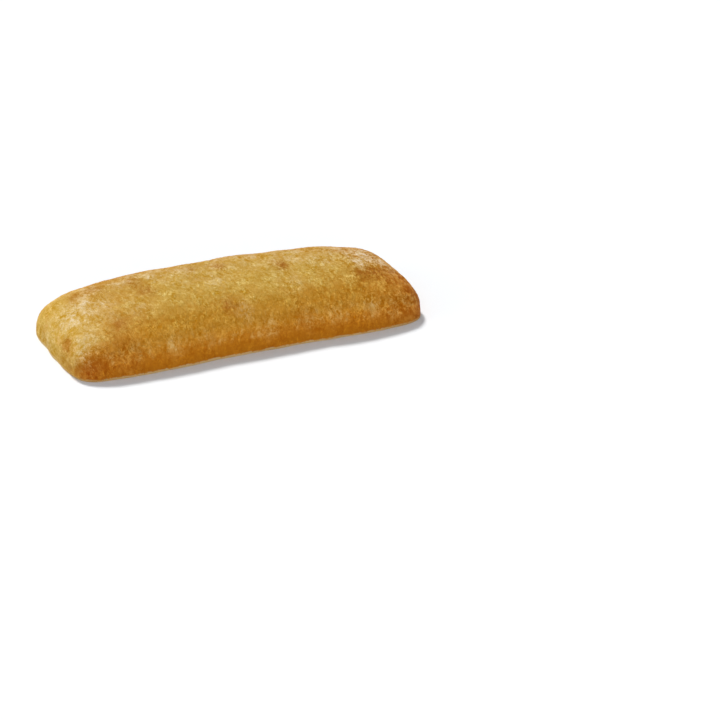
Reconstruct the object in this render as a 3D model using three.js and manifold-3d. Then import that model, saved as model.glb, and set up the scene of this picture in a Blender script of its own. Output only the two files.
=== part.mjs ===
// Domed top half of a ciabatta, sliced lengthwise and lying on its cut face.
// Millimetres, +Z up, +X along the loaf. The origin is the middle of the cut face.
import * as THREE from "three";
import { mergeVertices } from "three/addons/utils/BufferGeometryUtils.js";
import Module from "manifold-3d";

// Driving dimensions of the half loaf
const LENGTH = 220;
const WIDTH = 94.2;
const HEIGHT = 29.6;

// Form of the dome, as powers of superellipses: 2 is round and larger is squarer
const CUT_PLAN_POWER = 5.7; // plan at the cut face
const CROWN_PLAN_POWER = 2.3; // plan near the crown
const ROUND_END_POWER = 3.45; // profile along the loaf toward -X
const FULL_END_POWER = 5.5; // profile along the loaf toward +X
const SIDE_POWER = 2.95; // profile across the loaf
const RISE_POWER = 3; // how upright the wall stands on the cut face
const TAPER = -0.04; // change of half width toward +X, as a share
const BOW = 3.2; // sideways bend of the loaf's middle, toward +Y
const SLANT = 0.04; // lean of both ends, which sets them off square

// Swells that the proofed dough leaves in the crust
const SWELL_HEIGHT = 0.17;
const SWELL_WAVES = 9;
const SWELL_LONGEST = 52;
const SWELL_SHORTEST = 15;

// Bubbles that the knife opened in the cut face
const BUBBLE_COUNT = 78;
const BUBBLE_LARGEST = 5.6; // radius
const BUBBLE_SMALLEST = 1.2; // radius
const BUBBLE_SIZE_FALL = 2.6; // higher makes more of them small
const BUBBLE_SINK = 0.2; // part of the radius by which a bubble's middle lies past the cut
const BUBBLE_SHAPE = [1.25, 0.8, 0.9]; // length, width and depth, in radii
const BUBBLE_APART = 1.3; // least distance between middles, in sums of both radii
const BUBBLE_GAP = 0.9; // crumb left between neighbours besides
const CRUST_MARGIN = 3.5; // crumb left between a bubble and the outline
const PLAIN_SPOT = 9; // radius of closed crumb round the origin

// Mesh density: steps along, across and up the wall
const STEPS_ALONG = 64;
const STEPS_ACROSS = 32;
const STEPS_UP = 8;
const WALL_SHARE = 0.7; // part of the height that counts as wall
const BELOW_CUT = 5; // stretch of wall below the cut, which the knife takes off
const BUBBLE_SIDES = 8;
const BUBBLE_RINGS = 5;
const SAME_POINT = 1e-4; // vertices closer than this are one

const GOLDEN_ANGLE = Math.PI * (3 - Math.sqrt(5));

// Half-axis shares of the plan outline at the square direction (s, t), where the larger of |s| and |t| is 1
function outlinePoint(s, t, power) {
  const corner = 0.5 ** (1 / power);
  if (Math.abs(t) >= Math.abs(s)) {
    const x = corner * s;
    return [x, Math.sign(t) * (1 - Math.abs(x) ** power) ** (1 / power)];
  }
  const y = corner * t;
  return [Math.sign(s) * (1 - Math.abs(y) ** power) ** (1 / power), y];
}

// Half the width of the straight loaf at x
function halfWidth(x) {
  return (WIDTH / 2) * (1 + (TAPER * x) / (LENGTH / 2));
}

// Carries a place of the straight loaf to the bowed one with slanted ends
function bend(x, y) {
  return [x - SLANT * y, y + BOW * (1 - 2 * (x / (LENGTH / 2)) ** 2)];
}

// Point of the smooth dome: r is 1 on the cut face's outline and 0 at the crown
function domePoint(s, t, r) {
  const power = CROWN_PLAN_POWER + (CUT_PLAN_POWER - CROWN_PLAN_POWER) * r ** 2;
  const [outlineX, outlineY] = outlinePoint(s, t, power);
  const endPower = s < 0 ? ROUND_END_POWER : FULL_END_POWER;
  const straightX = (LENGTH / 2) * outlineX * r ** (2 / endPower);
  const straightY = halfWidth(straightX) * outlineY * r ** (2 / SIDE_POWER);
  const [x, y] = bend(straightX, straightY);
  const z = HEIGHT * Math.max(1 - r ** 2, 0) ** (1 / RISE_POWER);
  return new THREE.Vector3(x, y, z);
}

// Low waves that cross the crust in all directions, the longest first
function swell(point) {
  let sum = 0;
  for (let wave = 0; wave < SWELL_WAVES; wave++) {
    const heading = wave * GOLDEN_ANGLE;
    const wavelength = SWELL_LONGEST * (SWELL_SHORTEST / SWELL_LONGEST) ** (wave / (SWELL_WAVES - 1));
    const along = point.x * Math.cos(heading) + (point.y - point.z) * Math.sin(heading);
    sum += Math.sin((2 * Math.PI * along) / wavelength + wave) * (wavelength / SWELL_LONGEST) ** 0.5;
  }
  return SWELL_HEIGHT * sum;
}

// Pushes a dome point in or out from the loaf's spine, so that the cut face stays flat
function addSwell(point) {
  const spineHalf = (LENGTH - WIDTH) / 2;
  const spine = new THREE.Vector3(THREE.MathUtils.clamp(point.x, -spineHalf, spineHalf), 0, 0);
  const outward = point.clone().sub(spine).normalize();
  return point.addScaledVector(outward, swell(point));
}

// Carries a vertex of a block from -1 to 1 onto the loaf: the block's top becomes the
// crown, its sides the wall and its bottom a level below the cut
function blockToLoaf(s, t, w) {
  const ring = Math.max(Math.abs(s), Math.abs(t), 1e-9);
  const rise = (WALL_SHARE * (w + 1)) / 2;
  const wallRadius = Math.sqrt(1 - rise ** RISE_POWER);
  const meanPower = (ROUND_END_POWER + SIDE_POWER) / 2;
  const radius = w < 1 ? wallRadius : wallRadius * ring ** (meanPower / 2);
  const point = addSwell(domePoint(s / ring, t / ring, radius));
  if (w === -1) {
    point.set(point.x * ring, point.y * ring, -BELOW_CUT);
  }
  return point;
}

function loafGeometry() {
  const block = new THREE.BoxGeometry(2, 2, 2, STEPS_ALONG, STEPS_ACROSS, STEPS_UP);
  block.deleteAttribute("normal");
  block.deleteAttribute("uv");
  const place = block.getAttribute("position");
  for (let i = 0; i < place.count; i++) {
    const point = blockToLoaf(place.getX(i), place.getY(i), place.getZ(i));
    place.setXYZ(i, point.x, point.y, point.z);
  }
  return mergeVertices(block, SAME_POINT);
}

// The room below the cut, which the knife clears
function knifeGeometry() {
  const knife = new THREE.BoxGeometry(2 * LENGTH, 2 * WIDTH, 2 * BELOW_CUT);
  knife.deleteAttribute("normal");
  knife.deleteAttribute("uv");
  knife.translate(0, 0, -BELOW_CUT);
  return mergeVertices(knife, SAME_POINT);
}

// Seeded draws from 0 to 1, the same on every run
function drawShare(seed) {
  const wave = Math.sin(seed * 12.9898) * 43758.5453;
  return wave - Math.floor(wave);
}

// Middles and radii of the opened bubbles, the largest first
function bubbleLayout() {
  const bubbles = [];
  for (let draw = 1; bubbles.length < BUBBLE_COUNT; draw++) {
    const share = (1 - bubbles.length / BUBBLE_COUNT) ** BUBBLE_SIZE_FALL;
    const radius = BUBBLE_SMALLEST + (BUBBLE_LARGEST - BUBBLE_SMALLEST) * share;
    const straightX = (drawShare(2 * draw) - 0.5) * LENGTH;
    const straightY = (drawShare(2 * draw + 1) - 0.5) * WIDTH;
    const reachX = Math.abs(straightX) / (LENGTH / 2 - CRUST_MARGIN - radius);
    const reachY = Math.abs(straightY) / (halfWidth(straightX) - CRUST_MARGIN - radius);
    const inside = reachX ** CUT_PLAN_POWER + reachY ** CUT_PLAN_POWER < 1;
    const [x, y] = bend(straightX, straightY);
    const room = (b) => BUBBLE_APART * (b.radius + radius) + BUBBLE_GAP;
    const clear = bubbles.every((b) => Math.hypot(b.x - x, b.y - y) > room(b));
    if (inside && clear && Math.hypot(x, y) > PLAIN_SPOT + radius) {
      bubbles.push({ x, y, radius, turn: draw * GOLDEN_ANGLE });
    }
  }
  return bubbles;
}

// An egg-shaped bubble, longer than wide, whose middle lies just past the cut
function bubbleGeometry({ x, y, radius, turn }) {
  const bubble = new THREE.SphereGeometry(radius, BUBBLE_SIDES, BUBBLE_RINGS);
  bubble.deleteAttribute("normal");
  bubble.deleteAttribute("uv");
  bubble.rotateX(Math.PI / 2);
  bubble.scale(...BUBBLE_SHAPE);
  bubble.rotateZ(turn);
  bubble.translate(x, y, -BUBBLE_SINK * radius);
  return mergeVertices(bubble, SAME_POINT);
}

const wasm = await Module();
wasm.setup();

function toSolid(geometry) {
  const vertProperties = new Float32Array(geometry.getAttribute("position").array);
  const triVerts = new Uint32Array(geometry.getIndex().array);
  return new wasm.Manifold(new wasm.Mesh({ numProp: 3, vertProperties, triVerts }));
}

function toGeometry(solid) {
  const mesh = solid.getMesh();
  const geometry = new THREE.BufferGeometry();
  geometry.setAttribute("position", new THREE.BufferAttribute(new Float32Array(mesh.vertProperties), 3));
  geometry.setIndex(new THREE.BufferAttribute(new Uint32Array(mesh.triVerts), 1));
  return geometry;
}

function ciabattaHalf() {
  let solid = toSolid(loafGeometry()).subtract(toSolid(knifeGeometry()));
  for (const bubble of bubbleLayout()) {
    solid = solid.subtract(toSolid(bubbleGeometry(bubble)));
  }
  const geometry = toGeometry(solid);
  geometry.computeVertexNormals();
  geometry.computeBoundingBox();
  const middle = geometry.boundingBox.getCenter(new THREE.Vector3());
  geometry.translate(-middle.x, -middle.y, 0);
  const crust = new THREE.MeshStandardMaterial({ color: "#b98738", roughness: 0.7, metalness: 0 });
  const mesh = new THREE.Mesh(geometry, crust);
  mesh.name = "ciabatta_half";
  return mesh;
}

const ciabatta = new THREE.Group();
ciabatta.add(ciabattaHalf());

export default ciabatta;
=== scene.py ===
"""Looks of the top half of a ciabatta: baked crust over the dome, open crumb on the cut face."""
import itertools
import math
from types import SimpleNamespace

import bpy
import numpy as np
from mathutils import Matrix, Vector


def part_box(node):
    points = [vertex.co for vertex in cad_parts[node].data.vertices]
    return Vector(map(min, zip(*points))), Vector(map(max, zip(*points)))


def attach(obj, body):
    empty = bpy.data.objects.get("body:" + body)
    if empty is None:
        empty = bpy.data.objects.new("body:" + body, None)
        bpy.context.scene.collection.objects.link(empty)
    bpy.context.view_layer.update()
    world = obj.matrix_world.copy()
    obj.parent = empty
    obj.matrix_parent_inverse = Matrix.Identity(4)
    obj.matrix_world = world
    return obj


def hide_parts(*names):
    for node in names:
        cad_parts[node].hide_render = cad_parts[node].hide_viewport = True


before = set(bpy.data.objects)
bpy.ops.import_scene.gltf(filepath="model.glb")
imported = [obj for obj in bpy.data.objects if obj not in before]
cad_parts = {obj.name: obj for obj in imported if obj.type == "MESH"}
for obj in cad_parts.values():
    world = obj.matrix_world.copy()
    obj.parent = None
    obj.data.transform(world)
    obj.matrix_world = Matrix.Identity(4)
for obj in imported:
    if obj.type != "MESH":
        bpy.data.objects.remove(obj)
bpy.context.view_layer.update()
NODE = "ciabatta_half"
PIECE = "ciabatta_bread"
LOW, HIGH = (np.array(corner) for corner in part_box(NODE))
MM = 0.001

# Camera of the photograph: where it stands and what it aims at on the floor, in metres
CAMERA_HEADING = math.radians(180 + 22.69)  # counted from +Y toward +X
CAMERA_ELEVATION = math.radians(25.95)
CAMERA_DISTANCE = 1.6112
CAMERA_AIM = Vector((0.05195, -0.07806, 0.0))
CAMERA_LENS_MM = 140
CAMERA_SENSOR_MM = 36

# Soft studio lights: heading from +Y toward +X, elevation and spread in degrees, strength and colour
WHITE_LIGHT = (1, 1, 1)
FILL_LIGHT = (0.89, 1.0, 1.05)
SUNS = {
    "key": (-3, 50, 11, 2.83, WHITE_LIGHT),
    "front_fill": (-163, 7, 40, 1.235, FILL_LIGHT),
    "side_fill": (-90, 12, 40, 0.71, FILL_LIGHT),
}
HORIZON_LIGHT = (0.95, 0.99, 1.03, 1)
ZENITH_LIGHT = (0.34, 0.36, 0.38, 1)
ZENITH_START = 0.25  # sine of the elevation where the zenith's brightness is reached

# Floor, in metres
FLOOR_HALF = 12.0
FLOOR_COLOUR = (0.9, 0.9, 0.9, 1)
FLOOR_ROUGHNESS = 0.9
FLOOR_SPECULAR = 0.0

# Form of the dome, as in the solid: powers of superellipses, where larger is squarer
LENGTH = 220 * MM
WIDTH = 94.2 * MM
HEIGHT = 29.6 * MM
CUT_PLAN_POWER = 5.7
CROWN_PLAN_POWER = 2.3
ROUND_END_POWER = 3.45
FULL_END_POWER = 5.5
SIDE_POWER = 2.95
RISE_POWER = 3
TAPER = -0.04
BOW = 3.2 * MM
SLANT = 0.04

# Swells of the dough, as in the solid
SWELL_HEIGHT = 0.17 * MM
SWELL_WAVES = 9
SWELL_LONGEST = 52 * MM
SWELL_SHORTEST = 15 * MM
GOLDEN_ANGLE = math.pi * (3 - math.sqrt(5))

# Opened bubbles of the cut face, as in the solid
BUBBLE_COUNT = 78
BUBBLE_LARGEST = 5.6 * MM
BUBBLE_SMALLEST = 1.2 * MM
BUBBLE_SIZE_FALL = 2.6
BUBBLE_SINK = 0.2
BUBBLE_SHAPE = (1.25, 0.8, 0.9)
BUBBLE_APART = 1.3
BUBBLE_GAP = 0.9 * MM
CRUST_MARGIN = 3.5 * MM
PLAIN_SPOT = 9 * MM
DRAW_STEP = 12.9898
DRAW_GAIN = 43758.5453

# Mesh density: steps along, across and up the wall
STEPS_ALONG = 272
STEPS_ACROSS = 120
STEPS_UP = 32
WALL_SHARE = 0.7
TINY = 1e-9  # keeps the middle of the grid from a division by zero

# Repeatable noise: factors and shifts that mix a lattice point's numbers, and seeds
HASH_PRIMES = (73856093, 19349663, 83492791)
HASH_SEED = 26544357
HASH_ROUNDS = ((13, 1274126177), (15, 747796405))
HASH_LAST_SHIFT = 16
HASH_WORD = 0xFFFFFFFF
HASH_VALUE = 0xFFFFFF
NOISE_GAIN = 1.6
LAYER_SEED_STEP = 10
UNEVEN_SEED = 11
WRINKLE_SEED = 31
PEBBLE_SEED = 51
KNEE_SEED = 71
PATCH_SEED = 111
FILM_SEED = 131
TAN_SEED = 151

# Relief of the crust, finer than the swells
UNEVEN_HEIGHT = 0.22 * MM
UNEVEN_SIZE = 16 * MM
WRINKLE_HEIGHT = 0.20 * MM
WRINKLE_SIZE = 4.2 * MM
PEBBLE_HEIGHT = 0.15 * MM
PEBBLE_SIZE = 2.3 * MM
PEBBLE_STRAY = 0.4 * MM
PEBBLE_FLAT = 0.5  # distance past a pebble's border where its top is flat, in pebble sizes
BAND_RELIEF = 0.15  # share of the fine relief that the smooth band of wall keeps

# The smooth band of wall above the cut ends at a wandering knee, and runs out at the round end
KNEE_HEIGHT = 8 * MM
KNEE_WANDER = 1.8 * MM
KNEE_WAVE = 13 * MM
KNEE_BELOW = 2.5 * MM
KNEE_ABOVE = 3.5 * MM
KNEE_RANGE = (-104 * MM, -80 * MM)

# Stretches at the ends that baked differently, and the far side, where a sheen is painted
PALE_END_START = -64 * MM
PALE_END_FULL = -102 * MM
PALE_END_FRONT = -40 * MM
PALE_END_SOFT = 6 * MM
PALE_END_SHARE = 0.9
BROWN_END_RANGE = (40 * MM, 105 * MM)
BROWN_END_SHARE = 0.27
SHEEN_HEADING = (0.5, 0.87, 0)  # painted sheen: the side that faces this way, toward the key light behind the loaf, is paler
SHEEN_RANGE = (0.2, 0.7)  # how squarely a place faces that way where this starts and is full

# Places where the crust is browner: x, y and z of the middle and radius in millimetres, and strength
BROWN_PATCHES = (
    # Corner, shoulder, foot and wall of the round end
    (-99, -45, 6, 8, 0.64),
    (-82, -46, 19, 13, 0.56),
    (-75, -28, 25, 4, 0.5),
    (-106, -21, 13, 3.5, 1.5),
    (-109, -20, 2, 5, 0.3),
    (-108, -31, 2, 5, 0.3),
    (-107, -36, 5, 5, 0.5),
    (-110, 13, 7, 4, 0.25),
    # Spots on the crown
    (-88, 19, 24, 5, 0.6),
    (-77, 20, 26, 5, 0.6),
    (-53, 17, 28, 5, 0.6),
    (-50, 1, 29, 5, 0.65),
    (-17, 20, 28, 4, 0.6),
    (0, 16, 29, 4, 0.85),
    (-10.5, -31, 26, 4, 0.95),
    (35, 3, 30, 4.5, 1.0),
    # Front wall
    (10, -46, 4, 10, 0.15),
    (31, -41, 17, 6, 0.4),
    (52, -40, 19, 13, 0.14),
    # Shoulder of the full end
    (75, -21, 27, 4, 0.5),
    (84, -21, 26, 5, 0.5),
    (92, -24, 24, 5, 0.45),
    (99, -30, 20, 6, 0.4),
    (105, -33, 13, 10, 0.36),
    (90, -28, 23, 17, 0.22),
    # Far wall
    (98, 38, 8, 9, 0.6),
    (20, 46, 17, 9, 0.35),
    (-62, 43, 13, 10, 0.4),
)
# Places where flour still shows, in the same form
FLOUR_PATCHES = (
    # Full end
    (87, 8, 26, 7, 0.95),
    (88, 12, 25, 9, 0.6),
    (81, -7, 28, 6, 0.65),
    (96, -5, 24, 6, 0.85),
    (98, -14, 23, 4, 0.6),
    # Crown
    (58, 1, 29, 7, 0.25),
    (42, 18, 29, 9, 0.3),
    (34, -17, 29, 7, 0.2),
    (-10, -2, 29, 7, 0.25),
    (-3, -35, 24, 4.5, 0.35),
    (-60, -18, 28, 6, 0.25),
    (-41, 23, 28, 5, 0.35),
    # Round end
    (-83, 2, 26, 10, 0.35),
    (-78, -17, 26, 8, 0.18),
    (-97, -3, 25, 10, 0.9),
    (-100, -35, 16, 7, 0.55),
    (-96, -25, 21, 6, 0.25),
    (-110, 1, 7, 8, 0.25),
)
# Pale tan blotches of the front wall, in the same form
TAN_PATCHES = (
    (-78, -47, 4, 11, 0.14),
    (-71, -45, 16, 3, 0.35),
    (-48, -46, 14, 4, 0.7),
    (-27, -45, 13, 3, 0.5),
    (10, -43, 15, 4, 0.95),
    (35, -42, 13, 3.5, 1.0),
    (50, -44, 14, 3.5, 0.7),
    (75, -44, 16, 4, 0.95),
    (88, -44, 12, 4, 0.6),
    (98, -36, 13, 13, 0.3),
)
PATCH_RAGGED = 1.8 * MM  # how far the patches' outlines stray
PATCH_BAY = 4 * MM  # size of the bays in those outlines
PATCH_STRETCH = 1.5  # patches are this much longer across and up the loaf than along it

# Film of flour along the crown's far side
FILM_SHARE = 0.48
FILM_ACROSS = (-14 * MM, 22 * MM)
FILM_HEIGHTS = (15 * MM, 26 * MM)
FILM_SIZE = 12 * MM
FILM_MEAN = 0.5
FILM_UNEVEN = 0.7

# Small upright tan blotches all along the wall, over the smooth band
TAN_STRENGTH = 0.68
TAN_WIDTH = 3.4 * MM
TAN_SQUEEZE = (1, 1, 0.4)
TAN_RANGE = (0.05, 0.5)  # noise where a blotch starts and is full
TAN_RISE = (8 * MM, 11 * MM)
TAN_FALL = (15 * MM, 21 * MM)

# How lively the crust's tones are
UNREST_BAND = 0.6  # on the smooth band
UNREST_OVER = 0.35  # added over it
UNREST_END = 0.7  # added besides toward the full end
UNREST_END_RANGE = (50 * MM, 85 * MM)
UNREST_PALE = 0.2  # taken off on the pale end, as a share

# Texture of the crust: each noise is given by its size, detail and roughness
MOTTLE_NOISE = (7 * MM, 5, 0.95)
CLUSTER_NOISE = (9 * MM, 3, 0.6)
GRIT_NOISE = (2 * MM, 4, 0.9)
GRAIN_NOISE = (2 * MM, 2, 0.6)
FLECK_NOISE = (2.6 * MM, 2, 0.5)
FLECK_WIDTH = 0.10
SKIN_WARP = (3 * MM, 1.6 * MM)  # size and reach
SKIN_STRETCH = (1, 0.55, 0.75)  # squeeze of the pattern along, across and up the loaf
SPECK_SIZE = 1.2 * MM
SPECK_BARE = 0.68  # share of the specks' places that stay bare
BLISTER_RANGE = (0.1, 0.6)  # distance from the middle where a speck, pit or pore starts to fall, and ends

# Ranges that noise is read over
UNIT = (0, 1)
DOWN = (1, 0)
NOISE_MIDDLE = 0.5
USUAL_RANGE = (0.3, 0.7)
MOTTLE_RANGE = (0.4, 0.6)
BREAK_RANGE = (0.44, 0.56)  # mottle that breaks up patches
CLUSTER_RANGE = (0.34, 0.66)
FLECK_GRIT = (0.46, 0.6)  # grit where flecks start and are full

# Strengths of the crust's texture
LIVELY_RANGE = (0.4, 1.5)  # between clusters, and on them
MOTTLE_STRENGTH = 2.73
GRIT_STRENGTH = 2.73
FLECK_STRENGTH = 0.8
SPECK_STRENGTH = 0.78
TAN_LEAST = 0.1  # share of a tan blotch that shows in dark mottle
FLOUR_ON_FLECKS = 0.9
FLOUR_ON_MOTTLE = 0.7
BROWN_ON_MOTTLE = (1.3, 0.6)  # on dark mottle, and on light
TONE_WANDER = 1.1 * MM
EDGE_HEIGHTS = (1.0 * MM, 1.5 * MM)  # where the edge of crumb at the cut starts to fade, and ends
EDGE_WANDER = 0.5 * MM
EDGE_SHARE = 0.75
RELIEF_DEPTH = 0.18 * MM
SPECK_RELIEF = 0.5
GRAIN_RELIEF = 2
CRUST_ROUGHNESS = (0.66, 0.54)  # on dark mottle, and on light
CRUST_SPECULAR = 0.05

# Crumb of the cut face, inside the ring of crust that the knife went through
RING_OUTER = 1.1 * MM
RING_INNER = 2.2 * MM
RING_WANDER = 0.6 * MM
RING_NOISE = (3 * MM, 3, 0.6)
MARGIN_REACH = 12 * MM  # crumb nearer than this to the crust is golden
MARGIN_WANDER = 4 * MM
MARGIN_NOISE = (4 * MM, 3, 0.7)
MARGIN_SHARE = 0.6
CRUMB_WARP = (2.5 * MM, 1.4 * MM)  # size and reach
PIT_SIZE = 4.2 * MM
PIT_BARE = 0.3
PORE_SIZE = 1.6 * MM
PORE_BARE = 0.25
PORE_DEPTH = 0.7  # as a share of a pit's
CRUMB_NOISE = (0.7 * MM, 3, 0.6)
CRUMB_RANGE = (0.35, 0.65)
HOLLOW_DEPTH = 3.5 * MM  # a bubble this deep has its full shade
HOLLOW_SHADE = 0.5
CRUMB_RELIEF = 0.7 * MM
CRUMB_GRAIN_RELIEF = 0.6
CRUMB_ROUGHNESS = 0.85
CRUMB_SPECULAR = 0.1

# Colours of the crust by height above the cut, as linear reflectance, with painted light on the shoulder
# deeper brown toward the cut; the lighter band at about 14 to 21 mm is painted light where the shoulder
# turns from the key
CRUST_TONES_AND_PAINTED_LIGHT = (
    (7.5 * MM, (0.451, 0.1446, 0.0046, 1)),
    (12 * MM, (0.52, 0.185, 0.0123, 1)),
    (16 * MM, (0.572, 0.228, 0.0192, 1)),
    (21 * MM, (0.56, 0.244, 0.0226, 1)),
    (25 * MM, (0.486, 0.226, 0.02, 1)),
    (HEIGHT, (0.509, 0.295, 0.0465, 1)),
)
# Other colours of the crust and crumb
PALE_GOLD = (0.552, 0.334, 0.0568, 1)
FLOUR = (0.71, 0.518, 0.259, 1)
TAN = (0.677, 0.356, 0.0825, 1)
CRUMB_EDGE = (0.64, 0.46, 0.22, 1)
CUT_CRUST = (0.47, 0.235, 0.05, 1)
CRUMB = (0.68, 0.53, 0.29, 1)
CRUMB_LIGHT = (0.74, 0.60, 0.36, 1)
CRUMB_SHADE = (0.47, 0.31, 0.115, 1)
CRUMB_GOLD = (0.62, 0.41, 0.14, 1)

# Factors on the crust's colours: baked more or less than around, browned, flecked with paler crust and
# painted highlights, and a painted sheen on the far side
UNCHANGED = (1, 1, 1, 1)
HALF_WAY = 0.5  # between more and less baked
MORE_BAKED = (0.82, 0.67, 0.02, 1)
LESS_BAKED = (1.18, 1.33, 1.98, 1)
BROWNED = (0.72, 0.50, 0.22, 1)
# paler crust and painted highlights on the crests of the fine relief
FLECKS_AND_HIGHLIGHTS = (1.40, 1.58, 2.20, 1)
FAR_SIDE_SHEEN = (0.88, 1.12, 1.9, 1)


def lattice_random(cell, seed):
    """A repeatable value from 0 to 1 for each integer lattice point."""
    mixed = ((cell * HASH_PRIMES).sum(axis=-1) + seed * HASH_SEED) & HASH_WORD
    for shift, factor in HASH_ROUNDS:
        mixed = ((mixed ^ (mixed >> shift)) * factor) & HASH_WORD
    return ((mixed ^ (mixed >> HASH_LAST_SHIFT)) & HASH_VALUE) / HASH_VALUE


def lattice_triples(cell, seed):
    """Three such values for each lattice point."""
    return np.stack([lattice_random(cell, seed + axis) for axis in range(3)], axis=1)


def smooth_noise(points, size, seed):
    """Smooth noise of about -1 to 1, with blobs of that size."""
    place = points / size
    cell = np.floor(place).astype(np.int64)
    part = place - cell
    fade = part * part * part * (part * (part * 6 - 15) + 10)  # level at both ends
    total = np.zeros(len(points))
    for corner in itertools.product((0, 1), repeat=3):
        weight = np.prod(np.where(np.array(corner) == 1, fade, 1 - fade), axis=1)
        slope = lattice_triples(cell + np.array(corner), seed) * 2 - 1
        total += weight * np.sum(slope * (part - corner), axis=1)
    return total * NOISE_GAIN


def layered_noise(points, size, seed, layers=3):
    """Noise with finer and weaker layers on top."""
    total = np.zeros(len(points))
    for layer in range(layers):
        total += smooth_noise(points, size / 2**layer, seed + LAYER_SEED_STEP * layer) / 2**layer
    return total


def scattered_cells(points, size, seed):
    """Distance to the nearest and to the second nearest of scattered spots, in spot spacings."""
    place = points / size
    cell = np.floor(place).astype(np.int64)
    nearest = np.full(len(points), np.inf)
    second = np.full(len(points), np.inf)
    for step in itertools.product((-1, 0, 1), repeat=3):
        neighbour = cell + np.array(step)
        gap = np.linalg.norm(place - neighbour - lattice_triples(neighbour, seed), axis=1)
        second = np.minimum(second, np.maximum(nearest, gap))
        nearest = np.minimum(nearest, gap)
    return nearest, second


def smooth_step(value, low, high):
    """0 below low, 1 above high and smooth between."""
    share = np.clip((value - low) / (high - low), 0, 1)
    return share * share * (3 - 2 * share)


def block_mesh(along, across, up):
    """Closed grid over a block from -1 to 1: vertices, faces, and how many faces are the bottom's."""
    s, t = np.meshgrid(np.linspace(-1, 1, along + 1), np.linspace(-1, 1, across + 1), indexing="ij")
    flat = np.stack([s.ravel(), t.ravel()], axis=1)
    number = np.arange(len(flat)).reshape(along + 1, across + 1)
    rim = np.concatenate([number[:-1, 0], number[-1, :-1], number[:0:-1, -1], number[0, :0:-1]])
    levels = np.linspace(-1, 1, up + 1)[1:-1]
    bottom = np.column_stack([flat, np.full(len(flat), -1.0)])
    top = np.column_stack([flat, np.full(len(flat), 1.0)])
    wall = [np.column_stack([flat[rim], np.full(len(rim), level)]) for level in levels]
    rings = [rim]
    for step in range(len(levels)):
        rings.append(2 * len(flat) + step * len(rim) + np.arange(len(rim)))
    rings.append(len(flat) + rim)
    corners = [number[:-1, :-1], number[1:, :-1], number[1:, 1:], number[:-1, 1:]]
    sheet = np.stack([corner.ravel() for corner in corners], axis=1)
    faces = [sheet[:, ::-1], sheet + len(flat)]
    for lower, upper in zip(rings, rings[1:]):
        faces.append(np.stack([lower, np.roll(lower, -1), np.roll(upper, -1), upper], axis=1))
    vertices = np.concatenate([bottom, top, *wall])
    return vertices, np.concatenate(faces), len(sheet)


def outline_shares(s, t, power):
    """Half-axis shares of the plan outline at square directions, where the larger of |s| and |t| is 1."""
    corner = 0.5 ** (1 / power)
    along = np.abs(t) >= np.abs(s)
    near = corner * np.where(along, s, t)
    far = (1 - np.abs(near) ** power) ** (1 / power)
    x = np.where(along, near, np.sign(s) * far)
    y = np.where(along, np.sign(t) * far, near)
    return x, y


def half_width(x):
    """Half the width of the straight loaf at x."""
    return WIDTH / 2 * (1 + TAPER * x / (LENGTH / 2))


def bend(x, y):
    """Carries a place of the straight loaf to the bowed one with slanted ends."""
    return x - SLANT * y, y + BOW * (1 - 2 * (x / (LENGTH / 2)) ** 2)


def dome_points(s, t, radius):
    """Points of the smooth dome: radius is 1 on the cut face's outline and 0 at the crown."""
    power = CROWN_PLAN_POWER + (CUT_PLAN_POWER - CROWN_PLAN_POWER) * radius**2
    outline_x, outline_y = outline_shares(s, t, power)
    end_power = np.where(s < 0, ROUND_END_POWER, FULL_END_POWER)
    straight_x = LENGTH / 2 * outline_x * radius ** (2 / end_power)
    straight_y = half_width(straight_x) * outline_y * radius ** (2 / SIDE_POWER)
    x, y = bend(straight_x, straight_y)
    z = HEIGHT * np.maximum(1 - radius**2, 0) ** (1 / RISE_POWER)
    return np.stack([x, y, z], axis=1)


def swell(points):
    """Low waves that cross the crust in all directions, the longest first."""
    total = np.zeros(len(points))
    for wave in range(SWELL_WAVES):
        heading = wave * GOLDEN_ANGLE
        wavelength = SWELL_LONGEST * (SWELL_SHORTEST / SWELL_LONGEST) ** (wave / (SWELL_WAVES - 1))
        along = points[:, 0] * math.cos(heading) + (points[:, 1] - points[:, 2]) * math.sin(heading)
        total += np.sin(2 * math.pi * along / wavelength + wave) * (wavelength / SWELL_LONGEST) ** 0.5
    return SWELL_HEIGHT * total


def loaf_points(block):
    """Carries the block's vertices onto the loaf, swells included, with the cut face at zero height."""
    s, t, w = block.T
    ring = np.maximum(np.maximum(np.abs(s), np.abs(t)), TINY)
    rise = WALL_SHARE * (w + 1) / 2
    wall_radius = np.sqrt(1 - rise**RISE_POWER)
    mean_power = (ROUND_END_POWER + SIDE_POWER) / 2
    radius = np.where(w < 1, wall_radius, wall_radius * ring ** (mean_power / 2))
    points = dome_points(s / ring, t / ring, radius)
    spine = np.zeros_like(points)
    spine_half = (LENGTH - WIDTH) / 2
    spine[:, 0] = np.clip(points[:, 0], -spine_half, spine_half)
    outward = points - spine
    outward /= np.linalg.norm(outward, axis=1, keepdims=True)
    points += outward * swell(points)[:, None]
    cut = w == -1
    points[cut] *= ring[cut, None]
    points[cut, 2] = 0
    return points


def vertex_normals(points, faces):
    """Area-weighted normals of a quad mesh."""
    cross = np.cross(points[faces[:, 2]] - points[faces[:, 0]], points[faces[:, 3]] - points[faces[:, 1]])
    normals = np.zeros_like(points)
    for corner in faces.T:
        np.add.at(normals, corner, cross)
    return normals / np.linalg.norm(normals, axis=1, keepdims=True)


def draw_share(seed):
    """Seeded draws from 0 to 1, as in the solid."""
    wave = math.sin(seed * DRAW_STEP) * DRAW_GAIN
    return wave - math.floor(wave)


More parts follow.
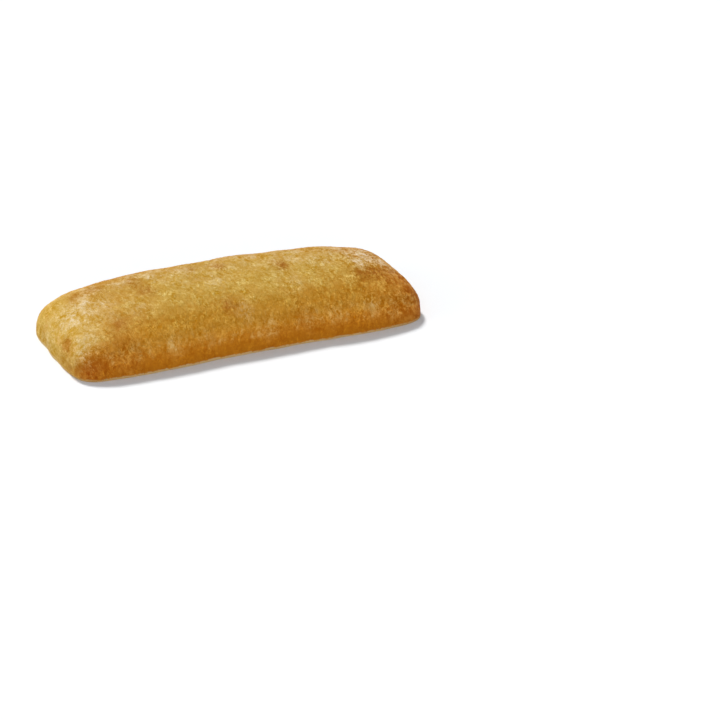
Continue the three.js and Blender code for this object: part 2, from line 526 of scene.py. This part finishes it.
def has_room(x, y, radius, bubbles):
    """Whether a bubble stays clear of the plain spot at the origin and of the bubbles so far."""
    if math.hypot(x, y) <= PLAIN_SPOT + radius:
        return False
    for other_x, other_y, other_radius, _ in bubbles:
        if math.hypot(other_x - x, other_y - y) <= BUBBLE_APART * (other_radius + radius) + BUBBLE_GAP:
            return False
    return True


def bubble_layout():
    """Middles, radii and turns of the opened bubbles, the largest first, as in the solid."""
    bubbles = []
    draw = 1
    while len(bubbles) < BUBBLE_COUNT:
        share = (1 - len(bubbles) / BUBBLE_COUNT) ** BUBBLE_SIZE_FALL
        radius = BUBBLE_SMALLEST + (BUBBLE_LARGEST - BUBBLE_SMALLEST) * share
        straight_x = (draw_share(2 * draw) - 0.5) * LENGTH
        straight_y = (draw_share(2 * draw + 1) - 0.5) * WIDTH
        reach_x = abs(straight_x) / (LENGTH / 2 - CRUST_MARGIN - radius)
        reach_y = abs(straight_y) / (half_width(straight_x) - CRUST_MARGIN - radius)
        inside = reach_x**CUT_PLAN_POWER + reach_y**CUT_PLAN_POWER < 1
        x, y = bend(straight_x, straight_y)
        if inside and has_room(x, y, radius, bubbles):
            bubbles.append((x, y, radius, draw * GOLDEN_ANGLE))
        draw += 1
    return bubbles


def bubble_depth(points):
    """How far the opened bubbles reach into the crumb at each point of the cut face."""
    depth = np.zeros(len(points))
    for x, y, radius, turn in bubble_layout():
        dx = points[:, 0] - x
        dy = points[:, 1] - y
        along = (dx * math.cos(turn) + dy * math.sin(turn)) / (radius * BUBBLE_SHAPE[0])
        across = (dy * math.cos(turn) - dx * math.sin(turn)) / (radius * BUBBLE_SHAPE[1])
        bowl = np.sqrt(np.maximum(1 - along**2 - across**2, 0)) * radius * BUBBLE_SHAPE[2]
        depth = np.maximum(depth, bowl - BUBBLE_SINK * radius)
    return depth


def roughness_share(points):
    """0 on the smooth band above the cut and 1 over it, with a wandering knee between them."""
    knee = KNEE_HEIGHT + KNEE_WANDER * layered_noise(points * (1, 1, 0), KNEE_WAVE, KNEE_SEED)
    knee *= smooth_step(points[:, 0], *KNEE_RANGE)
    return smooth_step(points[:, 2], knee - KNEE_BELOW, knee + KNEE_ABOVE)


def crust_relief(points):
    """Height of the crust's unevenness, wrinkles and pebbles."""
    uneven = layered_noise(points, UNEVEN_SIZE, UNEVEN_SEED, layers=2)
    wrinkle = 1 - 2 * np.abs(layered_noise(points, WRINKLE_SIZE, WRINKLE_SEED, layers=2))
    strayed = points + PEBBLE_STRAY * uneven[:, None]
    nearest, second = scattered_cells(strayed, PEBBLE_SIZE, PEBBLE_SEED)
    pebble = np.minimum(second - nearest, PEBBLE_FLAT) / PEBBLE_FLAT
    rough = BAND_RELIEF + (1 - BAND_RELIEF) * roughness_share(points)
    return UNEVEN_HEIGHT * uneven + rough * (WRINKLE_HEIGHT * wrinkle + PEBBLE_HEIGHT * pebble)


def patch_sum(points, patches):
    """Soft patches with ragged outlines, added up."""
    bays = [layered_noise(points, PATCH_BAY, PATCH_SEED + axis) for axis in range(3)]
    places = points + PATCH_RAGGED * np.stack(bays, axis=1)
    total = np.zeros(len(points))
    for x, y, z, radius, strength in patches:
        away = (places - np.array((x, y, z)) * MM) * (PATCH_STRETCH, 1, 1)
        gap = np.linalg.norm(away, axis=1) / PATCH_STRETCH
        total += strength * np.exp(-((gap / (radius * MM)) ** 2))
    return total


def pale_share(points):
    """1 on the end that stayed pale, 0 elsewhere."""
    end = smooth_step(-points[:, 0], -PALE_END_START, -PALE_END_FULL)
    return end * smooth_step(points[:, 1], PALE_END_FRONT - PALE_END_SOFT, PALE_END_FRONT + PALE_END_SOFT)


def brown_share(points):
    """How far the crust is browned: a little toward one end, and in patches."""
    end = smooth_step(points[:, 0], *BROWN_END_RANGE)
    return BROWN_END_SHARE * end + patch_sum(points, BROWN_PATCHES)


def flour_share(points):
    """How much flour is left on the crust: a thin film on the crown, and patches."""
    film = smooth_step(points[:, 1], *FILM_ACROSS) * smooth_step(points[:, 2], *FILM_HEIGHTS)
    film *= np.clip(FILM_MEAN + FILM_UNEVEN * layered_noise(points, FILM_SIZE, FILM_SEED), 0, 1)
    return FILM_SHARE * film + patch_sum(points, FLOUR_PATCHES)


def tan_share(points):
    """Pale tan blotches on the wall: small upright ones over the smooth band, and larger patches."""
    band = smooth_step(points[:, 2], *TAN_RISE) * (1 - smooth_step(points[:, 2], *TAN_FALL))
    blotch = layered_noise(points * TAN_SQUEEZE, TAN_WIDTH, TAN_SEED, layers=2)
    return TAN_STRENGTH * band * smooth_step(blotch, *TAN_RANGE) + patch_sum(points, TAN_PATCHES)


def unrest_share(points):
    """How lively the crust's tones are: calm on the smooth band, and most lively toward the full end."""
    full_end = smooth_step(points[:, 0], *UNREST_END_RANGE)
    lively = UNREST_BAND + roughness_share(points) * (UNREST_OVER + UNREST_END * full_end)
    return lively * (1 - UNREST_PALE * pale_share(points))


def rim_distance(points, rim):
    """Distance in plan from the outline of the cut face."""
    nearest = np.full(len(points), np.inf)
    for x, y in rim[:, :2]:
        nearest = np.minimum(nearest, np.hypot(points[:, 0] - x, points[:, 1] - y))
    return nearest


def fit_to_solid(points):
    """Stretches the points by a hair, so that their box is the solid's."""
    low = points.min(axis=0)
    return LOW + (points - low) * (HIGH - LOW) / (points.max(axis=0) - low)


def set_attributes(mesh, points, normals, rim):
    """Stores what the materials read, as one number per vertex each."""
    attributes = {
        "pale": pale_share(points),
        "brown": brown_share(points),
        "flour": flour_share(points),
        "tan": tan_share(points),
        "unrest": unrest_share(points),
        "rough": roughness_share(points),
        # painted sheen on the side toward the key light
        "far": smooth_step(normals @ SHEEN_HEADING, *SHEEN_RANGE),
        "inset": rim_distance(points, rim),
    }
    for name, values in attributes.items():
        attribute = mesh.attributes.new(name, "FLOAT", "POINT")
        attribute.data.foreach_set("value", values.astype(np.float32))


def add_object(name, data):
    """Puts a mesh, light or camera into the scene."""
    added = bpy.data.objects.new(name, data)
    bpy.context.scene.collection.objects.link(added)
    return added


def make_bread():
    """The half loaf as one closed mesh, crust first in its material slots and crumb second."""
    block, faces, cut_faces = block_mesh(STEPS_ALONG, STEPS_ACROSS, STEPS_UP)
    on_cut = block[:, 2] == -1
    on_rim = on_cut & (np.abs(block[:, :2]).max(axis=1) == 1)
    crust = ~on_cut | on_rim
    points = loaf_points(block)
    normals = vertex_normals(points, faces)
    normals[on_rim, 2] = 0
    relief = crust_relief(points)
    points[crust] += normals[crust] * relief[crust, None]
    points[~crust, 2] = bubble_depth(points[~crust])
    points = fit_to_solid(points)
    mesh = bpy.data.meshes.new(PIECE)
    mesh.from_pydata(points.tolist(), [], faces.tolist())
    is_crumb = np.arange(len(faces)) < cut_faces
    mesh.polygons.foreach_set("use_smooth", np.ones(len(faces), bool))
    mesh.polygons.foreach_set("material_index", is_crumb.astype(np.int32))
    set_attributes(mesh, points, normals, points[on_rim])
    mesh.update()
    mesh.materials.append(crust_material())
    mesh.materials.append(crumb_material())
    return add_object(PIECE, mesh)


class Graph:
    """A material's nodes, added and linked by short calls."""

    def __init__(self, name):
        self.material = bpy.data.materials.new(name)
        self.material.use_nodes = True
        self.tree = self.material.node_tree
        self.shader = self.tree.nodes["Principled BSDF"]

    def feed(self, socket, value):
        """Links a socket to another, or gives it a fixed value."""
        if isinstance(value, bpy.types.NodeSocket):
            self.tree.links.new(value, socket)
        else:
            socket.default_value = value

    def node(self, kind, inputs, **settings):
        """Adds a node with its settings and inputs."""
        node = self.tree.nodes.new(kind)
        for name, value in settings.items():
            setattr(node, name, value)
        for key, value in inputs.items():
            self.feed(node.inputs[key], value)
        return node

    def place(self):
        """Places in the loaf's own frame, in metres."""
        return self.node("ShaderNodeTexCoord", {}).outputs["Object"]

    def height(self, place):
        """Height above the cut."""
        return self.node("ShaderNodeSeparateXYZ", {0: place}).outputs["Z"]

    def attribute(self, name):
        """A number that the mesh stores for each vertex."""
        return self.node("ShaderNodeAttribute", {}, attribute_name=name).outputs["Fac"]

    def math(self, operation, first, second=0.0):
        """A sum, product or the like of two numbers."""
        return self.node("ShaderNodeMath", {0: first, 1: second}, operation=operation).outputs[0]

    def add(self, first, second):
        """Sum of two numbers."""
        return self.math("ADD", first, second)

    def multiply(self, first, second):
        """Product of two numbers."""
        return self.math("MULTIPLY", first, second)

    def vector_math(self, operation, inputs):
        """A sum, product or the like of two vectors."""
        return self.node("ShaderNodeVectorMath", inputs, operation=operation).outputs[0]

    def remap(self, value, source, target):
        """Carries a number from one range to another, and stops at its ends."""
        inputs = {"Value": value, "From Min": source[0], "From Max": source[1]}
        inputs.update({"To Min": target[0], "To Max": target[1]})
        return self.node("ShaderNodeMapRange", inputs).outputs["Result"]

    def squeeze(self, place, scale):
        """Scales places along each axis."""
        return self.node("ShaderNodeMapping", {"Vector": place, "Scale": scale}).outputs[0]

    def warp(self, place, size, reach):
        """Shifts places by smooth noise."""
        inputs = {"Vector": place, "Scale": 1 / size, "Detail": 1.0}
        shift = self.node("ShaderNodeTexNoise", inputs).outputs["Color"]
        shift = self.vector_math("SUBTRACT", {0: shift, 1: (NOISE_MIDDLE,) * 3})
        shift = self.vector_math("SCALE", {0: shift, "Scale": reach})
        return self.vector_math("ADD", {0: place, 1: shift})

    def noise(self, place, size, detail, roughness):
        """Layered noise from 0 to 1."""
        inputs = {"Vector": place, "Scale": 1 / size, "Detail": detail, "Roughness": roughness}
        return self.node("ShaderNodeTexNoise", inputs).outputs["Fac"]

    def stray(self, noise, reach):
        """Noise as a distance, up to reach either way."""
        return self.remap(noise, USUAL_RANGE, (-reach, reach))

    def strokes(self, place, noise, width):
        """Curly lines, 1 along their middles and 0 beside them."""
        field = self.noise(place, *noise)
        away = self.math("ABSOLUTE", self.math("SUBTRACT", field, NOISE_MIDDLE))
        return self.remap(away, (0, width), DOWN)

    def blisters(self, place, size, bare):
        """Round bumps of uneven strength, from 0 between them to 1 on the strongest; a share stays bare."""
        cells = self.node("ShaderNodeTexVoronoi", {"Vector": place, "Scale": 1 / size})
        strength = self.node("ShaderNodeSeparateColor", {0: cells.outputs["Color"]}).outputs["Red"]
        bump = self.remap(cells.outputs["Distance"], BLISTER_RANGE, DOWN)
        return self.multiply(bump, self.remap(strength, (bare, 1), UNIT))

    def tint(self, colour, factor):
        """Multiplies a colour by another."""
        return self.vector_math("MULTIPLY", {0: colour, 1: factor})

    def mix(self, share, first, second):
        """A colour between two others, which are the node's sockets 6 and 7."""
        return self.node("ShaderNodeMix", {0: share, 6: first, 7: second}, data_type="RGBA").outputs[2]

    def ramp(self, value, stops):
        """Colours at positions from 0 to 1."""
        node = self.node("ShaderNodeValToRGB", {"Fac": value})
        elements = node.color_ramp.elements
        while len(elements) < len(stops):
            elements.new(0.5)
        for element, (position, colour) in zip(elements, stops):
            element.position = position
            element.color = colour
        return node.outputs["Color"]

    def surface(self, colour, roughness, specular):
        """Gives the shader its colour and gloss."""
        self.feed(self.shader.inputs["Base Color"], colour)
        self.feed(self.shader.inputs["Roughness"], roughness)
        self.feed(self.shader.inputs["Specular IOR Level"], specular)

    def bump(self, height, depth):
        """Gives the shader its finest relief."""
        bump = self.node("ShaderNodeBump", {"Height": height, "Distance": depth})
        self.feed(self.shader.inputs["Normal"], bump.outputs["Normal"])


def crust_pattern(graph):
    """Fields that the crust's colours and relief share."""
    place = graph.place()
    skin = graph.squeeze(graph.warp(place, *SKIN_WARP), SKIN_STRETCH)
    mottle = graph.noise(skin, *MOTTLE_NOISE)
    cluster = graph.noise(place, *CLUSTER_NOISE)
    grit = graph.noise(skin, *GRIT_NOISE)
    strokes = graph.strokes(skin, FLECK_NOISE, FLECK_WIDTH)
    clusters = graph.remap(cluster, CLUSTER_RANGE, LIVELY_RANGE)
    return SimpleNamespace(
        height=graph.height(place),
        skin=skin,
        mottle=mottle,
        cluster=cluster,
        grit=grit,
        broken=graph.remap(mottle, BREAK_RANGE, UNIT),
        flecks=graph.multiply(strokes, graph.remap(grit, FLECK_GRIT, UNIT)),
        specks=graph.blisters(skin, SPECK_SIZE, SPECK_BARE),
        lively=graph.multiply(clusters, graph.attribute("unrest")),
    )


def crust_tone(graph, pattern):
    """Base colour by height above the cut, with painted light on the shoulder, painted sheen on the far
    side, and paler at the round end.
    """
    top = CRUST_TONES_AND_PAINTED_LIGHT[-1][0]
    level = graph.add(pattern.height, graph.stray(pattern.cluster, TONE_WANDER))
    stops = [(height / top, colour) for height, colour in CRUST_TONES_AND_PAINTED_LIGHT]
    # The ramp's lighter band on the shoulder is painted light.
    colour = graph.ramp(graph.math("DIVIDE", level, top), stops)
    # Painted sheen: paler and less saturated on the far side, which faces the key light.
    colour = graph.tint(colour, graph.mix(graph.attribute("far"), UNCHANGED, FAR_SIDE_SHEEN))
    return graph.mix(graph.multiply(graph.attribute("pale"), PALE_END_SHARE), colour, PALE_GOLD)


def add_flecks(graph, pattern, colour):
    """Pale flecks and specks, most where the crust is lively: partly paler crust, partly painted highlights
    on the crests of the fine relief.
    """
    flecks = graph.multiply(pattern.flecks, FLECK_STRENGTH)
    specks = graph.multiply(pattern.specks, SPECK_STRENGTH)
    share = graph.multiply(graph.add(flecks, specks), pattern.lively)
    # Painted highlights on the crests of the relief, together with paler crust.
    return graph.tint(colour, graph.mix(share, UNCHANGED, FLECKS_AND_HIGHLIGHTS))


def add_tan(graph, pattern, colour):
    """Tan blotches, broken up by the mottle."""
    shown = graph.remap(pattern.broken, UNIT, (TAN_LEAST, 1))
    return graph.mix(graph.multiply(graph.attribute("tan"), shown), colour, TAN)


def add_flour(graph, pattern, colour):
    """Traces of flour, in flecks and clumps."""
    flecks = graph.multiply(pattern.flecks, FLOUR_ON_FLECKS)
    clumps = graph.multiply(pattern.broken, FLOUR_ON_MOTTLE)
    share = graph.multiply(graph.attribute("flour"), graph.add(flecks, clumps))
    return graph.mix(share, colour, FLOUR)


def add_mottle(graph, pattern, colour):
    """Mottle and grit, baked more and less than the crust around."""
    mottle = graph.remap(pattern.mottle, UNIT, (-MOTTLE_STRENGTH / 2, MOTTLE_STRENGTH / 2))
    grit = graph.remap(pattern.grit, UNIT, (-GRIT_STRENGTH / 2, GRIT_STRENGTH / 2))
    shift = graph.multiply(graph.add(mottle, grit), pattern.lively)
    return graph.tint(colour, graph.mix(graph.add(shift, HALF_WAY), MORE_BAKED, LESS_BAKED))


def add_crumb_edge(graph, pattern, colour):
    """A thin, ragged edge of crumb along the cut."""
    wander = graph.remap(pattern.mottle, MOTTLE_RANGE, (-EDGE_WANDER, EDGE_WANDER))
    share = graph.remap(graph.add(pattern.height, wander), EDGE_HEIGHTS, (EDGE_SHARE, 0))
    return graph.mix(share, colour, CRUMB_EDGE)


def add_browning(graph, pattern, colour):
    """Browner places, strongest on dark mottle."""
    strength = graph.remap(pattern.broken, UNIT, BROWN_ON_MOTTLE)
    share = graph.multiply(graph.attribute("brown"), strength)
    return graph.tint(colour, graph.mix(share, UNCHANGED, BROWNED))


def crust_bump(graph, pattern):
    """Height of the finest grains, flecks and specks, lowest on the smooth band."""
    grain = graph.multiply(graph.noise(pattern.skin, *GRAIN_NOISE), GRAIN_RELIEF)
    specks = graph.multiply(pattern.specks, SPECK_RELIEF)
    height = graph.add(specks, graph.add(pattern.flecks, grain))
    return graph.multiply(height, graph.remap(graph.attribute("rough"), UNIT, (BAND_RELIEF, 1)))


def crust_material():
    """Golden baked crust, from its base colour through each layer of marks."""
    graph = Graph("crust")
    pattern = crust_pattern(graph)
    colour = crust_tone(graph, pattern)
    for layer in (add_flecks, add_tan, add_flour, add_mottle, add_crumb_edge, add_browning):
        colour = layer(graph, pattern, colour)
    roughness = graph.remap(pattern.mottle, MOTTLE_RANGE, CRUST_ROUGHNESS)
    graph.surface(colour, roughness, CRUST_SPECULAR)
    graph.bump(crust_bump(graph, pattern), RELIEF_DEPTH)
    return graph.material


def crumb_material():
    """Cream crumb of the cut face: painted shade in its pits, pores and bubbles, a golden margin and a ring
    of crust.
    """
    graph = Graph("crumb")
    place = graph.place()
    inset = graph.attribute("inset")
    bent = graph.warp(place, *CRUMB_WARP)
    pores = graph.multiply(graph.blisters(bent, PORE_SIZE, PORE_BARE), PORE_DEPTH)
    dips = graph.add(graph.blisters(bent, PIT_SIZE, PIT_BARE), pores)
    grain = graph.noise(place, *CRUMB_NOISE)
    colour = graph.mix(graph.remap(grain, CRUMB_RANGE, UNIT), CRUMB, CRUMB_LIGHT)
    margin = graph.add(inset, graph.stray(graph.noise(place, *MARGIN_NOISE), MARGIN_WANDER))
    golden = graph.remap(margin, (RING_INNER, MARGIN_REACH), (MARGIN_SHARE, 0))
    colour = graph.mix(golden, colour, CRUMB_GOLD)
    # Painted shade in the pits and pores, and deeper in the opened bubbles.
    hollow = graph.remap(graph.height(place), (0, HOLLOW_DEPTH), (0, HOLLOW_SHADE))
    colour = graph.mix(graph.add(dips, hollow), colour, CRUMB_SHADE)
    ring = graph.add(inset, graph.stray(graph.noise(place, *RING_NOISE), RING_WANDER))
    colour = graph.mix(graph.remap(ring, (RING_OUTER, RING_INNER), DOWN), colour, CUT_CRUST)
    graph.surface(colour, CRUMB_ROUGHNESS, CRUMB_SPECULAR)
    graph.bump(graph.math("SUBTRACT", graph.multiply(grain, CRUMB_GRAIN_RELIEF), dips), CRUMB_RELIEF)
    return graph.material


def make_floor():
    """Plain pale floor."""
    corners = [(-FLOOR_HALF, -FLOOR_HALF, 0), (FLOOR_HALF, -FLOOR_HALF, 0)]
    corners += [(FLOOR_HALF, FLOOR_HALF, 0), (-FLOOR_HALF, FLOOR_HALF, 0)]
    mesh = bpy.data.meshes.new("floor")
    mesh.from_pydata(corners, [], [(0, 1, 2, 3)])
    graph = Graph("pale_floor")
    graph.surface(FLOOR_COLOUR, FLOOR_ROUGHNESS, FLOOR_SPECULAR)
    mesh.materials.append(graph.material)
    floor = add_object("floor", mesh)


def direction(heading, elevation):
    """Unit vector toward a heading, counted from +Y toward +X, and an elevation."""
    flat = math.cos(elevation)
    return Vector((math.sin(heading) * flat, math.cos(heading) * flat, math.sin(elevation)))


def make_sun(name, heading, elevation, spread, strength, colour):
    """A distant soft light, with its angles in degrees."""
    light = bpy.data.lights.new(name, "SUN")
    light.angle = math.radians(spread)
    light.energy = strength
    light.color = colour
    toward = direction(math.radians(heading), math.radians(elevation))
    lamp = add_object(name, light)
    lamp.rotation_euler = toward.to_track_quat("Z", "Y").to_euler()


def make_world():
    """White surroundings, brightest at the horizon."""
    world = bpy.data.worlds.new("studio")
    bpy.context.scene.world = world
    world.use_nodes = True
    nodes = world.node_tree.nodes
    links = world.node_tree.links
    toward = nodes.new("ShaderNodeTexCoord")
    split = nodes.new("ShaderNodeSeparateXYZ")
    brightness = nodes.new("ShaderNodeValToRGB")
    brightness.color_ramp.elements[0].color = HORIZON_LIGHT
    brightness.color_ramp.elements[1].color = ZENITH_LIGHT
    brightness.color_ramp.elements[1].position = ZENITH_START
    links.new(toward.outputs["Generated"], split.inputs[0])
    links.new(split.outputs["Z"], brightness.inputs["Fac"])
    links.new(brightness.outputs["Color"], nodes["Background"].inputs["Color"])


def make_lights():
    """Soft studio light: a key from behind, fills from the front and side, and pale surroundings."""
    for name, settings in SUNS.items():
        make_sun(name, *settings)
    make_world()


def make_camera():
    """The photograph's camera."""
    data = bpy.data.cameras.new("camera")
    data.lens = CAMERA_LENS_MM
    data.sensor_width = CAMERA_SENSOR_MM
    back = direction(CAMERA_HEADING, CAMERA_ELEVATION)
    camera = add_object("camera", data)
    camera.location = CAMERA_AIM + back * CAMERA_DISTANCE
    camera.rotation_euler = (-back).to_track_quat("-Z", "Y").to_euler()
    bpy.context.scene.camera = camera


make_camera()
make_floor()
make_lights()
bread = make_bread()
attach(bread, "root")
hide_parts(NODE)
bpy.context.scene.view_settings.view_transform = "Standard"
